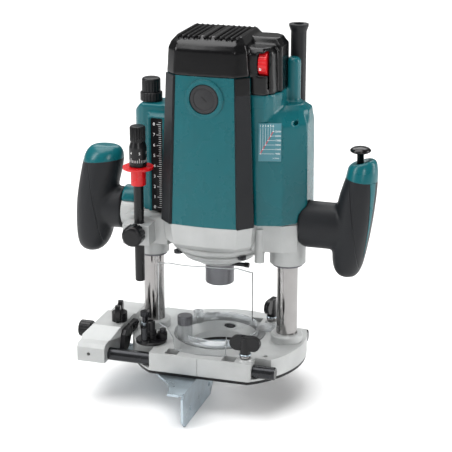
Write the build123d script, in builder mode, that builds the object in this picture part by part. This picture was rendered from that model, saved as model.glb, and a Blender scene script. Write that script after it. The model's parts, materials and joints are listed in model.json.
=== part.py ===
"""Plunge router with a straight guide, one STEP file for each sub-part, in mm.

The origin is on the spindle axis at the underside of the sole. Front is -Y, up is +Z.
"""
from build123d import *
import math
import os

os.makedirs("parts", exist_ok=True)

# --- driving dimensions ---
baseRadius = 84.0
baseFront = -69.0          # the base is cut flat here
soleThickness = 3.0
deckTop = 21.0
openingRadius = 30.5
collarSeatRadius = 44.3
collarSeatFloor = 18.2
postX = 66.5
postRadius = 10.0
postBore = 7.5
postTop = 196.0
rightPostTop = 174.0         # shorter, as the right cover closes lower over it
slideFit = 0.05            # radial clearance of a shaft in its bore
rodRadius = 6.0
rodHeight = 11.0
frontRodY = -60.0
rearRodY = 38.0
poleX = -66.7
poleY = -38.0
poleBottom = 80.0
turretX = -54.6
turretY = -44.0
turretPitch = 11.3         # radius of the circle of stops
housingBottom = 143.0
housingTop = 281.0
coverTop = 315.7
bushTop = 200.0            # top of the cast guide tubes round the posts
bushRadius = 12.0
leftTowerTop = 245.0
rightTowerTop = 251.5
pitchLine = 142.8          # top of the motor bracket

TOP = (Align.CENTER, Align.CENTER, Align.MIN)


def rod(x, y, low, high, radius, mode=Mode.ADD):
    """A vertical cylinder between two heights."""
    with Locations((x, y, low)):
        Cylinder(radius, high - low, align=TOP, mode=mode)


def taper(x, y, low, high, lowRadius, highRadius, mode=Mode.ADD):
    """A vertical cone between two heights."""
    with Locations((x, y, low)):
        Cone(lowRadius, highRadius, high - low, align=TOP, mode=mode)


def block(x0, x1, y0, y1, z0, z1, mode=Mode.ADD):
    """A box given by its lowest and highest corners."""
    with Locations(((x0 + x1) / 2, (y0 + y1) / 2, (z0 + z1) / 2)):
        Box(x1 - x0, y1 - y0, z1 - z0, mode=mode)


def rodX(x0, x1, y, z, radius, mode=Mode.ADD):
    """A cylinder along X."""
    with Locations(Location(((x0 + x1) / 2, y, z), (0, 90, 0))):
        Cylinder(radius, x1 - x0, mode=mode)


def rodY(x, y0, y1, z, radius, mode=Mode.ADD):
    """A cylinder along Y."""
    with Locations(Location((x, (y0 + y1) / 2, z), (90, 0, 0))):
        Cylinder(radius, y1 - y0, mode=mode)


def prism(points, low, high, mode=Mode.ADD):
    """A plan outline raised between two heights."""
    with BuildSketch(Plane.XY.offset(low)) as outline:
        Polygon(*points, align=None)
    extrude(outline.sketch, amount=high - low, mode=mode)


def prismX(points, x0, x1, mode=Mode.ADD):
    """A (y, z) outline carried along X."""
    with BuildSketch(Plane.YZ.offset(x0)) as outline:
        Polygon(*points, align=None)
    extrude(outline.sketch, amount=x1 - x0, mode=mode)


def prismY(points, y0, y1, mode=Mode.ADD):
    """An (x, z) outline carried along Y."""
    with BuildSketch(Plane.XZ.offset(-y1)) as outline:
        Polygon(*points, align=None)
    extrude(outline.sketch, amount=y1 - y0, mode=mode)


def skin(levels, mode=Mode.ADD):
    """A ruled loft through plan outlines given as (height, points)."""
    sections = []
    for height, points in levels:
        with BuildSketch(Plane.XY.offset(height)) as outline:
            Polygon(*points, align=None)
        sections.append(outline.sketch)
    loft(sections, ruled=True, mode=mode)


def knurl(x, y, low, high, radius, count, cut):
    """Small vertical flutes round a knob."""
    for step in range(count):
        angle = 2 * math.pi * step / count
        rod(x + radius * math.cos(angle), y + radius * math.sin(angle), low, high, cut,
            Mode.SUBTRACT)


def grip(levels):
    """A loft through oval sections given as (height, x from, x to, half depth)."""
    sections = []
    for height, x0, x1, half in levels:
        with BuildSketch(Plane.XY.offset(height)) as outline:
            with Locations(((x0 + x1) / 2, 0)):
                Ellipse((x1 - x0) / 2, half)
        sections.append(outline.sketch)
    loft(sections)


def neck(x0, x1, low, high, half0, half1, mode=Mode.ADD):
    """A loft along X between two oval sections."""
    sections = []
    for x, half in ((x0, half0), (x1, half1)):
        with BuildSketch(Plane.YZ.offset(x)) as outline:
            with Locations((0, (low + high) / 2)):
                Ellipse(half, (high - low) / 2)
        sections.append(outline.sketch)
    loft(sections, mode=mode)


def save(piece, name):
    piece.part.label = name
    export_step(piece.part, "parts/" + name + ".step")


# --- base: casting, sole and screws ---
def plan(radius, front):
    with BuildSketch(Plane.XY.offset(0)) as outline:
        Circle(radius)
        with Locations((0, front - 50)):
            Rectangle(4 * radius, 100, mode=Mode.SUBTRACT)
        fillet(outline.vertices(), 6)
    return outline.sketch


soleHoles = [(-40, 54), (40, 54), (-40, -42), (36, -46)]
templateHoles = [(-37, 44), (47, 21)]

with BuildPart() as deck_form:
    add(plan(baseRadius, baseFront))
    extrude(amount=deckTop - soleThickness)
    deck_form.part.position = (0, 0, soleThickness)

with BuildPart() as base_casting:
    add(deck_form.part)
    for side in (-1, 1):
        rod(side * postX, 0, deckTop - 1, 27.5, 15.2)
        taper(side * postX, 0, 27.5, 29, 15.2, 13.6)
    rod(turretX, turretY, deckTop - 1, 22, 15.2)
    taper(43, frontRodY, deckTop - 1, 23, 7, 5.8)
    taper(41.4, rearRodY, deckTop - 1, 23, 7, 5.8)
    # middle opening, wider towards the deck, and the seat of the nozzle ring
    rod(0, 0, 2, 10, openingRadius, Mode.SUBTRACT)
    taper(0, 0, 9.9, collarSeatFloor + 0.01, openingRadius, 36, Mode.SUBTRACT)
    rod(0, 0, collarSeatFloor, 24, collarSeatRadius, Mode.SUBTRACT)
    # post sockets
    for side in (-1, 1):
        rod(side * postX, 0, soleThickness, 40, postRadius + slideFit, Mode.SUBTRACT)
    # rod bores and the notches where the rods come out
    rodX(-95, 95, frontRodY, rodHeight, rodRadius + slideFit, Mode.SUBTRACT)
    rodX(-95, 95, rearRodY, rodHeight, rodRadius + slideFit, Mode.SUBTRACT)
    block(-90, -48, -80, -52.5, 4.5, 30, Mode.SUBTRACT)
    block(50.5, 90, -80, -52.5, 5.2, 30, Mode.SUBTRACT)
    block(49, 95, 31, 90, 5, 30, Mode.SUBTRACT)
    # the rim behind the rear rod is lower
    prismX([(46, deckTop), (52, 12), (90, 12), (90, 30), (46, 30)], -90, 90, Mode.SUBTRACT)
    # deck pockets, open down to the guide rods
    block(-33.5, -21.5, -66.5, -53.5, 8, 22, Mode.SUBTRACT)
    block(22, 34, -66.8, -55.2, 8, 22, Mode.SUBTRACT)
    block(-27.5, -14, 34, 45.5, 12, 22, Mode.SUBTRACT)
    block(20, 31, 33.5, 44.8, 12, 22, Mode.SUBTRACT)
    # clamp bolt threads, sole screws and the other small holes
    rod(43, frontRodY, 12, 30, 3.05, Mode.SUBTRACT)
    rod(41.4, rearRodY, 12, 30, 3.05, Mode.SUBTRACT)
    rod(turretX, turretY, 8, 23, 3.05, Mode.SUBTRACT)
    for x, y in soleHoles:
        rod(x, y, 2, 15, 2.05, Mode.SUBTRACT)
    for x, y in templateHoles:
        rod(x, y, 12, 22, 2.1, Mode.SUBTRACT)
    rod(58.5, -45.5, 16, 22, 2.2, Mode.SUBTRACT)
    # the fine parting groove down the front face
    block(-1.3, -0.7, -69.5, -68.6, 3, 22, Mode.SUBTRACT)
save(base_casting, "base_casting")

with BuildPart() as sole_plate:
    add(plan(baseRadius - 0.6, baseFront + 0.6))
    extrude(amount=soleThickness)
    rod(0, 0, -1, 4, openingRadius, Mode.SUBTRACT)
    for x, y in soleHoles:
        rod(x, y, -1, 4, 2.05, Mode.SUBTRACT)
        taper(x, y, -0.01, 1.9, 4.05, 2.05, Mode.SUBTRACT)
save(sole_plate, "sole_plate")

with BuildPart() as sole_screws:
    for x, y in soleHoles:
        rod(x, y, 0.4, 13, 2.0)
        taper(x, y, 0.3, 1.9, 3.7, 2.0)
        block(x - 2, x + 2, y - 0.4, y + 0.4, 0, 0.9, Mode.SUBTRACT)
        block(x - 0.4, x + 0.4, y - 2, y + 2, 0, 0.9, Mode.SUBTRACT)
save(sole_screws, "sole_screws")


# --- posts, springs and the height limit rod ---
springFoot = 100.0
for side, name, top in ((-1, "post_left", postTop), (1, "post_right", rightPostTop)):
    with BuildPart() as post:
        rod(side * postX, 0, soleThickness, top, postRadius)
        rod(side * postX, 0, springFoot, top + 1, postBore, Mode.SUBTRACT)
        if side < 0:
            rod(side * postX, 0, 60, springFoot + 1, 3.0 + slideFit, Mode.SUBTRACT)
        chamfer(post.edges().group_by(Axis.Z)[-1], 0.8)
    save(post, name)

springTurns = 9
for side, name, high in ((-1, "spring_left", 240.8), (1, "spring_right", 247.3)):
    length = high - springFoot - 2.4
    with BuildPart() as spring:
        with BuildLine(Plane.XY.offset(springFoot + 1.2)) as coil:
            Helix(pitch=length / springTurns, height=length, radius=5.2)
        start = coil.line @ 0
        heading = coil.line % 0
        with BuildSketch(Plane(origin=start, z_dir=heading)):
            Circle(1.0)
        sweep(path=coil.line)
    spring.part.position = (side * postX, 0, 0)
    save(spring, name)

with BuildPart() as limit_rod:
    rod(-postX, 0, 60.2, 262, 3.0)
    chamfer(limit_rod.edges().group_by(Axis.Z)[-1], 0.6)
save(limit_rod, "limit_rod")

with BuildPart() as limit_knob:
    rod(-postX, 0, 254, 267, 8.8)
    rod(-postX, 0, 253, 263, 3.0 + slideFit, Mode.SUBTRACT)
    fillet(limit_knob.edges().group_by(Axis.Z)[-1], 2.4)
    knurl(-postX, 0, 253, 264.5, 9.1, 18, 0.75)
save(limit_knob, "limit_knob")

with BuildPart() as limit_lock_ring:
    rod(-postX, 0, 245.6, 253.7, 10.4)
    rod(-postX, 0, 245, 254, 3.0 + slideFit, Mode.SUBTRACT)
    chamfer(limit_lock_ring.edges().group_by(Axis.Z)[-1], 0.7)
    knurl(-postX, 0, 245, 254.5, 10.8, 20, 0.9)
save(limit_lock_ring, "limit_lock_ring")


# --- clear chip guard, clear collar round the cutter ---
guardRadius = 79.3
guardFront = -61.0
with BuildPart() as chip_guard:
    with Locations((0, guardFront + guardRadius, 21.2)):
        Cylinder(guardRadius, 90, align=TOP)
        Cylinder(guardRadius - 2, 90, align=TOP, mode=Mode.SUBTRACT)
    prismY([(-46, 42), (-46, 102), (-32, 106), (4, 108.5), (34, 107), (45.5, 102), (45.5, 52),
            (38, 49), (28, 46), (24, 40), (23, 21.2), (-27, 21.2), (-29, 33), (-36, 40)],
           -70, -40, Mode.INTERSECT)
save(chip_guard, "chip_guard")

with BuildPart() as chip_collar:
    rod(0, 0, collarSeatFloor, 21.6, collarSeatRadius - 0.3)
    rod(0, 0, 21, 26.5, 38)
    # ear over the deck on the right, with its screw hole
    prism([(33, 24), (37, 6), (51.5, 17), (44, 26.5)], 21.3, 24.2)
    rod(47, 21, 21.3, 24.2, 6)
    rod(0, 0, 10, 60, 36, Mode.SUBTRACT)
    rod(47, 21, 20, 30, 2.2, Mode.SUBTRACT)
    # screw towers, the front one for the thumb screw
    rod(-26.5, -26, collarSeatFloor, 35.6, 6.8)
    rod(-26.5, -26, 25, 40, 3.0 + slideFit, Mode.SUBTRACT)
    rod(-30, 25, collarSeatFloor, 30, 4.9)
    rod(-30, 25, 24, 31, 2.1, Mode.SUBTRACT)
save(chip_collar, "chip_collar")

with BuildPart() as collar_screw:
    rod(-26.5, -26, 36, 45, 7.2)
    fillet(collar_screw.edges().group_by(Axis.Z)[-1], 1.2)
    knurl(-26.5, -26, 35, 43.5, 7.5, 16, 0.6)
    rod(-26.5, -26, 26, 36.5, 3.0)
save(collar_screw, "collar_screw")


# --- stop turret ---
stopAngles = (138, 258, 18)
stopTops = (48.5, 38.6, 34.5)
lugTops = (34.0, 27.0, 31.0)


def stopPlace(index, radius=turretPitch):
    angle = math.radians(stopAngles[index])
    return turretX + radius * math.cos(angle), turretY + radius * math.sin(angle)


with BuildPart() as stopper_turret:
    rod(turretX, turretY, 22.3, 25, 14.5)
    chamfer(stopper_turret.edges().group_by(Axis.Z)[-1], 0.8)
    rod(turretX, turretY, 24, 29, 6.2)
    for index in range(3):
        x, y = stopPlace(index, turretPitch - 0.5)
        rod(x, y, 24, lugTops[index], 4.6)
    rod(turretX, turretY, 21, 30, 3.0 + slideFit, Mode.SUBTRACT)
    for index in range(3):
        x, y = stopPlace(index)
        rod(x, y, 22.5, 35, 2.0 + slideFit, Mode.SUBTRACT)
save(stopper_turret, "stopper_turret")

with BuildPart() as stop_bolts:
    for index, top in enumerate(stopTops):
        x, y = stopPlace(index)
        rod(x, y, 22.7, top, 2.0)
        rod(x, y, lugTops[index] + 0.3, top, 2.9)
    # the tall one has a lock nut and a fluted head
    x, y = stopPlace(0)
    rod(x, y, 43.5, stopTops[0], 4.6)
    knurl(x, y, 43, 49, 4.9, 8, 0.8)
    with BuildSketch(Plane.XY.offset(lugTops[0] + 0.3)):
        with Locations((x, y)):
            RegularPolygon(4.2, 6)
    extrude(amount=3)
save(stop_bolts, "stop_bolts")

with BuildPart() as turret_screw:
    rod(turretX, turretY, 9, 29.4, 3.0)
    rod(turretX, turretY, 29.2, 33, 5.2)
    rod(turretX, turretY, 32.5, 42.5, 4.1)
    chamfer(turret_screw.edges().group_by(Axis.Z)[-1], 0.7)
    with BuildSketch(Plane.XY.offset(39)):
        with Locations((turretX, turretY)):
            RegularPolygon(2.6, 6)
    extrude(amount=4, mode=Mode.SUBTRACT)
save(turret_screw, "turret_screw")


# --- clamp bolts of the guide rods, with their springs ---
def upright(x, y, turn):
    """A vertical plane through a point, its first axis turned about Z."""
    angle = math.radians(turn)
    return Plane(origin=(x, y, 0), x_dir=(math.cos(angle), math.sin(angle), 0),
                 z_dir=(math.sin(angle), -math.cos(angle), 0))


def wing(x, y, low, high, half, thick, turn=0):
    """A wing head with rounded lobes."""
    middle = (low + high) / 2
    lobe = (high - low) / 2
    with BuildSketch(upright(x, y, turn)) as outline:
        with Locations((0, middle)):
            SlotOverall(2 * half, 2 * lobe)
    extrude(outline.sketch, amount=thick / 2, both=True)
    taper(x, y, low - 5, high - 2, 5.2, 3.4)


with BuildPart() as front_clamp_bolt:
    rod(43, frontRodY, 17.4, 27, 3.0)
    wing(43, frontRodY, 31, 45, 14.5, 5)
save(front_clamp_bolt, "front_clamp_bolt")

with BuildPart() as rear_clamp_bolt:
    rod(41.4, rearRodY, 17.4, 27, 3.0)
    wing(41.4, rearRodY, 31.5, 45.5, 12.5, 5, 78)
save(rear_clamp_bolt, "rear_clamp_bolt")


# --- straight guide: rods, holder, fine adjuster, slider and fence ---
with BuildPart() as guide_rods:
    rodX(-117, 72, frontRodY, rodHeight, rodRadius)
    rodX(-117, 78, rearRodY, rodHeight, rodRadius)
    ends = guide_rods.edges().filter_by(GeomType.CIRCLE).group_by(Axis.X)
    chamfer(ends[-1] + ends[-2], 0.8)
save(guide_rods, "guide_rods")

holderLeft = -118.5
holderRight = -91.0
raisedRight = -83.0
holderNut = (-90.0, -34.0)
with BuildPart() as guide_holder:
    prismX([(-73, 6), (-73, 20), (-70, 23.4), (-62, 24), (-50, 35), (-12, 35), (0, 24), (42, 24),
            (46, 20), (46, 6)], holderLeft, holderRight)
    # the raised part is wider on the right
    prism([(-91.5, -64), (raisedRight, -50), (raisedRight, -8), (-91.5, 6)], 24.5, 35)
    prismX([(-75, 24), (-62, 24), (-50, 35), (-12, 35), (0, 24), (50, 24), (50, 40), (-75, 40)],
           holderLeft - 1, holderRight + 20, Mode.SUBTRACT)
    # the left edge of the raised part leans inwards
    prismY([(holderLeft - 1, 26), (holderLeft - 1, 40), (-108, 40), (-111, 35)], -80, 50,
           Mode.SUBTRACT)
    # pocket from below for the slider's lug, and the space between the rod bosses
    block(holderLeft + 4.5, holderRight - 3, -42, -9, 0, 29, Mode.SUBTRACT)
    block(holderLeft + 4.5, holderRight - 3, 0, 26, 0, 19, Mode.SUBTRACT)
    rodX(-117.02, -80, frontRodY, rodHeight, rodRadius, Mode.SUBTRACT)
    rodX(-117.02, -80, rearRodY, rodHeight, rodRadius, Mode.SUBTRACT)
    rodX(-125, -110, -25, 18.8, 3.0 + slideFit, Mode.SUBTRACT)
    rod(*holderNut, 20, 40, 3.0 + slideFit, Mode.SUBTRACT)
    rodY(-107, -80, -66.2, 13.5, 1.6, Mode.SUBTRACT)
save(guide_holder, "guide_holder")

with BuildPart() as holder_arm:
    prismX([(-54, 9), (-50, 27), (-46, 31), (-16, 31), (-11, 26), (-16, 22), (-32, 22), (-38, 13),
            (-46, 9)], raisedRight, -78.7)
    rodX(-85, -75, -26, 26.5, 2.6, Mode.SUBTRACT)
save(holder_arm, "holder_arm")

with BuildPart() as holder_wing_nut:
    rod(*holderNut, 29.6, 40, 3.0)
    rod(*holderNut, 35.3, 44, 7.4)
    for turn in (100, 280):
        with BuildSketch(upright(*holderNut, turn)):
            with Locations((7.0, 44.5)):
                Ellipse(3.8, 8.6)
        extrude(amount=2.4, both=True)
save(holder_wing_nut, "holder_wing_nut")

with BuildPart() as fine_adjust_knob:
    rodX(-134.5, -122.5, -25, 18.8, 8.2)
    fillet(fine_adjust_knob.edges().group_by(Axis.X)[0], 1.5)
    for step in range(16):
        angle = 2 * math.pi * step / 16
        rodX(-133, -122, -25 + 8.5 * math.cos(angle), 18.8 + 8.5 * math.sin(angle), 0.7,
             Mode.SUBTRACT)
    rodX(-123, -119, -25, 18.8, 4.5)
    rodX(-120, -94.5, -25, 18.8, 3.0)
save(fine_adjust_knob, "fine_adjust_knob")

with BuildPart() as guide_slider:
    block(-116, -96, -40, -11, -0.2, 5.6)
    block(-107.5, -101.5, -32, -18, 5, 26)
    rodX(-110, -100, -25, 18.8, 3.0 + slideFit, Mode.SUBTRACT)
save(guide_slider, "guide_slider")

fenceFace = -1.8
fenceHoles = (-86, -30, 30, 86)
with BuildPart() as fence_plate:
    # flange under the sole
    with BuildSketch(Plane.XY.offset(-2.6)):
        with BuildLine():
            Polyline((fenceFace, -107), (-17, -107))
            ThreePointArc((-17, -107), (-21.5, -90), (-34, -74))
            Polyline((-34, -74), (-60, -44), (-118, -44), (-118, -7), (-70, -4), (-60, 44),
                     (-34, 74))
            ThreePointArc((-34, 74), (-21.5, 90), (-17, 107))
            Polyline((-17, 107), (fenceFace, 107), (fenceFace, -107))
        make_face()
    extrude(amount=2.3)
    block(fenceFace - 2.2, fenceFace, -107, 107, -34, -1)
    # the middle of the face is open where the cutter stands
    prismX([(-15, -0.9), (-15, -22), (-26, -36), (26, -36), (15, -22), (15, -0.9)],
           fenceFace - 4, fenceFace + 1, Mode.SUBTRACT)
    rod(0, 0, -4, 0, 34, Mode.SUBTRACT)
    for end in (-107, 107):
        rodX(fenceFace - 4, fenceFace + 1, end, -2.5, 2.2, Mode.SUBTRACT)
        prismX([(end, -34), (end, -28), (end - math.copysign(6, end), -34)], fenceFace - 4,
               fenceFace + 1, Mode.SUBTRACT)
    for y in fenceHoles:
        rodX(fenceFace - 4, fenceFace + 1, y, -21.5, 2.6, Mode.SUBTRACT)
save(fence_plate, "fence_plate")


# --- motor bracket ---
def motorPlan(half, front, side, corner, back, crown=2.4):
    """Plan outline of the motor: crowned front, cut corners, flat sides, cut back corners."""
    face = []
    for step in range(-3, 4):
        part = step / 3
        face.append((half * part, front + crown * part * part))
    return face + [(side, corner), (side, back - 16), (half - 6, back), (6 - half, back),
                   (-side, back - 16), (-side, corner)]


housingFoot = motorPlan(32.1, -51.5, 43, -38, 48)
housingHead = motorPlan(28.6, -46.2, 37.8, -36, 42, 1.4)

with BuildPart() as motor_bracket:
    skin([(123, motorPlan(30, -49.4, 41, -36, 45)), (pitchLine, housingFoot)])
    skin([(118.5, motorPlan(26, -46, 38, -32, 42)), (123.01, motorPlan(30, -49.4, 41, -36, 45))])
    rod(0, 0, 111.5, 119, 43.5)
    taper(0, 0, 104, 111.51, 35, 38)
    rod(0, 0, 102, 104.01, 33.6)
    taper(0, 0, 95, 102.01, 20.5, 32)
    # arms out to the two post sleeves
    prism([(-84, -30), (-42, -30), (-38, -20), (-38, 24), (-60, 24), (-84, 16)], 115, 141)
    prism([(79, -14), (66, -22), (38, -24), (38, 24), (66, 22), (79, 14)], 115, 141)
    rod(-postX, 0, 98, pitchLine, 15)
    rod(postX, 0, 100, pitchLine, 17)
    rod(-postX, 0, 140, bushTop, bushRadius)
    rod(postX, 0, 140, bushTop, bushRadius)
    # boss of the depth pole, and the small boss on the right
    block(-80, -54, -47, -29, 118, 137)
    rod(45, -21, 104, 137, 4.6)
    block(41, 49, -20, -12, 112, 137)
    # stubs that carry the handles
    rodX(-94, -70, 0, 137, 16)
    rodX(70, 79, 0, 137, 12)
    rodX(-122, -93, 0, 137, 9)
    rodX(78, 124, 0, 137, 9)
    # hollow for the fan and the lower bearing
    skin([(124, motorPlan(27, -45, 38, -33, 41)), (pitchLine + 1, motorPlan(29, -47.5, 40, -35, 44))],
         Mode.SUBTRACT)
    rod(0, 0, 128, 150, 38.4, Mode.SUBTRACT)
    rod(0, 0, 112.5, 130, 17.6, Mode.SUBTRACT)
    rod(0, 0, 90, 114, 14.6, Mode.SUBTRACT)
    for side in (-1, 1):
        rod(side * postX, 0, 90, bushTop + 1, postRadius + slideFit, Mode.SUBTRACT)
    rod(poleX, poleY, 100, 150, 4.6 + slideFit, Mode.SUBTRACT)
    rodY(poleX, -50, -38, 129.5, 3.0 + slideFit, Mode.SUBTRACT)
    rodY(-postX - 2, 10, 40, 129, 4.0 + slideFit, Mode.SUBTRACT)
    rodX(14, 50, -15, 97.5, 2.0 + slideFit, Mode.SUBTRACT)
save(motor_bracket, "motor_bracket")

with BuildPart() as post_scrapers:
    for x, low, outer in ((-postX, 95.5, 13.2), (postX, 97.5, 14.5)):
        rod(x, 0, low, low + 2.5, outer)
        rod(x, 0, low - 1, low + 4, postRadius + 0.08, Mode.SUBTRACT)
save(post_scrapers, "post_scrapers")

with BuildPart() as bracket_screws:
    for x, y in ((-31, -31), (31, -31), (-31, 31), (31, 31)):
        rod(x, y, 108.8, 111.5, 4)
        block(x - 2.6, x + 2.6, y - 0.6, y + 0.6, 108, 109.8, Mode.SUBTRACT)
        block(x - 0.6, x + 0.6, y - 2.6, y + 2.6, 108, 109.8, Mode.SUBTRACT)
    rod(0, 0, 90, 120, 39, Mode.SUBTRACT)
save(bracket_screws, "bracket_screws")


# --- motor housing ---
with BuildPart() as housing_form:
    skin([(pitchLine, housingFoot), (housingTop, housingHead)])

with BuildPart() as motor_housing:
    add(housing_form.part)
    skin([(pitchLine - 1, motorPlan(29.6, -48.4, 40, -35.4, 45)),
          (housingTop + 1, motorPlan(26.2, -43.2, 34.9, -33.4, 39, 1.4))], Mode.SUBTRACT)
    # raised rings and bores of the brush holders
    for front in (-1, 1):
        edge = front * 47.6
        inside = front * 41
        rodY(0, min(edge, inside), max(edge, inside), 261, 18)
    for front in (-1, 1):
        rodY(0, min(0, front * 60), max(0, front * 60), 261, 13.7, Mode.SUBTRACT)
save(motor_housing, "motor_housing")

with BuildPart() as brush_caps:
    for front in (-1, 1):
        rodY(0, min(front * 46.9, front * 41), max(front * 46.9, front * 41), 261, 13.4)
        rodY(0, min(front * 46.4, front * 48), max(front * 46.4, front * 48), 261, 9.6,
             Mode.SUBTRACT)
        block(-5.5, 5.5, min(front * 45.6, front * 48), max(front * 45.6, front * 48), 260.2,
              261.8, Mode.SUBTRACT)
save(brush_caps, "brush_caps")

with BuildPart() as brushes:
    for front in (-1, 1):
        block(-3, 3, min(front * 15.4, front * 39), max(front * 15.4, front * 39), 256, 266)
save(brushes, "brushes")

with BuildPart() as corner_strips:
    for side in (-1, 1):
        foot = [(29.8, -48.6), (32.4, -51), (44.6, -38.6), (42.6, -35.8)]
        head = [(26.6, -44.4), (28.9, -46.4), (39.2, -36.2), (37.4, -33.4)]
        if side < 0:
            foot = [(-x, y) for x, y in reversed(foot)]
            head = [(-x, y) for x, y in reversed(head)]
        skin([(pitchLine, foot), (housingTop, head)])
    add(housing_form.part, mode=Mode.SUBTRACT)
save(corner_strips, "corner_strips")

coverFoot = motorPlan(28.9, -46.4, 38.2, -36.2, 42.2, 1.4)
with BuildPart() as cover_form:
    skin([(housingTop, coverFoot), (304, motorPlan(27.8, -45.4, 36.6, -36.8, 41, 1.4)),
          (309.5, motorPlan(27, -41.8, 34.6, -35, 40, 1.2)),
          (313.4, motorPlan(26, -36.8, 31.5, -31.5, 37, 1)),
          (coverTop, motorPlan(25, -34.5, 29.6, -29.6, 36, 0.5))])
    # the top falls away behind the grille
    prismX([(21, coverTop + 0.01), (50, 296), (60, 330), (21, 330)], -60, 60, Mode.SUBTRACT)
    # speed dial block, then the taller block behind it
    skin([(264, [(34, -31), (51, -31), (58, -22), (59, -10), (34, -10)]),
          (301, [(34, -31), (50.5, -31), (57, -22), (58, -10), (34, -10)]),
          (306, [(32, -28), (48, -27), (54, -20), (54, -8), (32, -8)])])
    skin([(264, [(34, -11), (62, -11), (62, 14), (56, 22), (34, 22)]),
          (305, [(32, -11), (61.5, -11), (61.5, 14), (55, 22), (32, 22)]),
          (312, [(28, -6), (55, -7), (58, -2), (57, 11), (50, 17), (28, 17)])])

with BuildPart() as top_cover:
    add(cover_form.part)
    add(housing_form.part, mode=Mode.SUBTRACT)
    # air grille over the top, running front to back
    for step in range(11):
        x = -25 + 5.0 * step
        block(x - 1.1, x + 1.1, -40, 21, 312.2, 320, Mode.SUBTRACT)
    skin([(housingTop - 1, motorPlan(26.2, -43.2, 34.9, -33.4, 39, 1.4)),
          (302, motorPlan(24, -42, 33, -34, 34, 1.4)), (308.5, motorPlan(21, -34, 27, -28, 20, 1))],
         Mode.SUBTRACT)
    block(39.5, 58.5, -7, 18, 263, 303, Mode.SUBTRACT)
    block(40.5, 54, -27.5, -5, 263, 303.2, Mode.SUBTRACT)
    block(44.4, 53, -33, -26, 281.8, 301.6, Mode.SUBTRACT)
save(top_cover, "top_cover")

with BuildPart() as speed_dial:
    rodX(45, 52.4, -20, 291.5, 11.2)
    for step in range(24):
        angle = 2 * math.pi * step / 24
        rodX(44, 53, -20 + 11.5 * math.cos(angle), 291.5 + 11.5 * math.sin(angle), 0.7,
             Mode.SUBTRACT)
    rodX(41, 45.1, -20, 291.5, 2.5)
save(speed_dial, "speed_dial")

# right side: dial panel, column cover and the post behind it
with BuildPart() as right_column_cover:
    skin([(pitchLine, [(36, -33.4), (46, -33.4), (67.5, -28), (86.5, -9), (86.5, 18), (80, 26),
                       (36, 26)]),
          (236, [(34, -31), (45, -31), (67, -25), (85.5, -9), (85.5, 18), (79, 25), (34, 25)]),
          (247, [(34, -31), (44, -31), (62, -17), (80, -5), (84, 0), (84, 16), (77, 23), (34, 25)]),
          (rightTowerTop, [(34, -31), (43, -31), (57, -10), (64, -8), (77, -1), (79, 3), (78, 12),
                           (73, 19), (34, 22)])])
    prism([(34, -31), (51, -31), (58, -22), (62, -11), (62, 14), (56, 22), (34, 22)], 240, 264)
    rod(66, 13, 248, 289, 7)
    taper(66, 13, 289, 291.5, 7, 5)
    add(housing_form.part, mode=Mode.SUBTRACT)
    add(cover_form.part, mode=Mode.SUBTRACT)
    # inside: post bush, space beside the motor, cord guard seat
    rod(postX, 0, 130, 206, 12.2, Mode.SUBTRACT)
    rod(postX, 0, 205, 247.4, 6.9, Mode.SUBTRACT)
    block(43.5, 50, -20, 18, 160, 262, Mode.SUBTRACT)
    rod(66.5, 29, 230, 300, 7.25, Mode.SUBTRACT)
    rodY(76, -30, -8, 237, 2.1, Mode.SUBTRACT)
    rodX(60, 79.5, 0, 137, 12.02, Mode.SUBTRACT)
    neck(79, 95, 116.5, 161, 17, 17, Mode.SUBTRACT)
save(right_column_cover, "right_column_cover")

with BuildPart() as cord_guard:
    rod(66.5, 29, 232, 317, 7.2)
    taper(66.5, 29, 312, 317, 7.2, 9)
    rod(66.5, 29, 317, 319, 9)
    rod(66.5, 29, 230, 330, 4.6, Mode.SUBTRACT)
save(cord_guard, "cord_guard")

with BuildPart() as left_column_cover:
    prism([(-70, -15), (-38, -15), (-38, 15), (-70, 15)], pitchLine, leftTowerTop)
    rod(-postX, 0, pitchLine, leftTowerTop, 14.8)
    prismY([(-82, 235), (-72, 246), (-82, 246)], -20, 20, Mode.SUBTRACT)
    # front lip round the depth scale
    block(-64, -40, -19, -14, pitchLine, 238)
    prismX([(-20, 232), (-15, 238.01), (-20, 238.01)], -70, -35, Mode.SUBTRACT)
    block(-61.2, -49.6, -20, -16.5, 140.5, 233, Mode.SUBTRACT)
    # short collar round the handle stub
    rodX(-94, -76, 0, 148, 13)
    block(-95, -76, -14, 14, 130, 142.8, Mode.SUBTRACT)
    rodX(-95, -70, 0, 137, 16.02, Mode.SUBTRACT)
    rod(-postX, 0, 130, 240.9, 12.2, Mode.SUBTRACT)
    rod(-postX, 0, 240, 250, 3.3, Mode.SUBTRACT)
    add(housing_form.part, mode=Mode.SUBTRACT)
    add(cover_form.part, mode=Mode.SUBTRACT)
save(left_column_cover, "left_column_cover")

with BuildPart() as depth_scale:
    block(-61, -49.8, -18, -16.5, 143.2, 232.6)
save(depth_scale, "depth_scale")


# --- motor inside ---
with BuildPart() as stator:
    rod(0, 0, 165, 240, 37.6)
    rod(0, 0, 164, 241, 25.0, Mode.SUBTRACT)
    block(-35.8, 35.8, -34, 34, 164, 241, Mode.INTERSECT)
save(stator, "stator")

with BuildPart() as bearing_retainer:
    prism(motorPlan(24.4, -41, 33.4, -31.4, 37.2, 1.4), 276, 280.8)
    rod(0, 0, 276, 290, 17)
    for x in (-28, 28):
        for y in (-22, 22):
            block(x - 7, x + 7, y - 12, y + 12, 270, 282, Mode.SUBTRACT)
    rod(0, 0, 270, 288, 13.02, Mode.SUBTRACT)
    rod(0, 0, 270, 300, 8, Mode.SUBTRACT)
save(bearing_retainer, "bearing_retainer")

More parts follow.
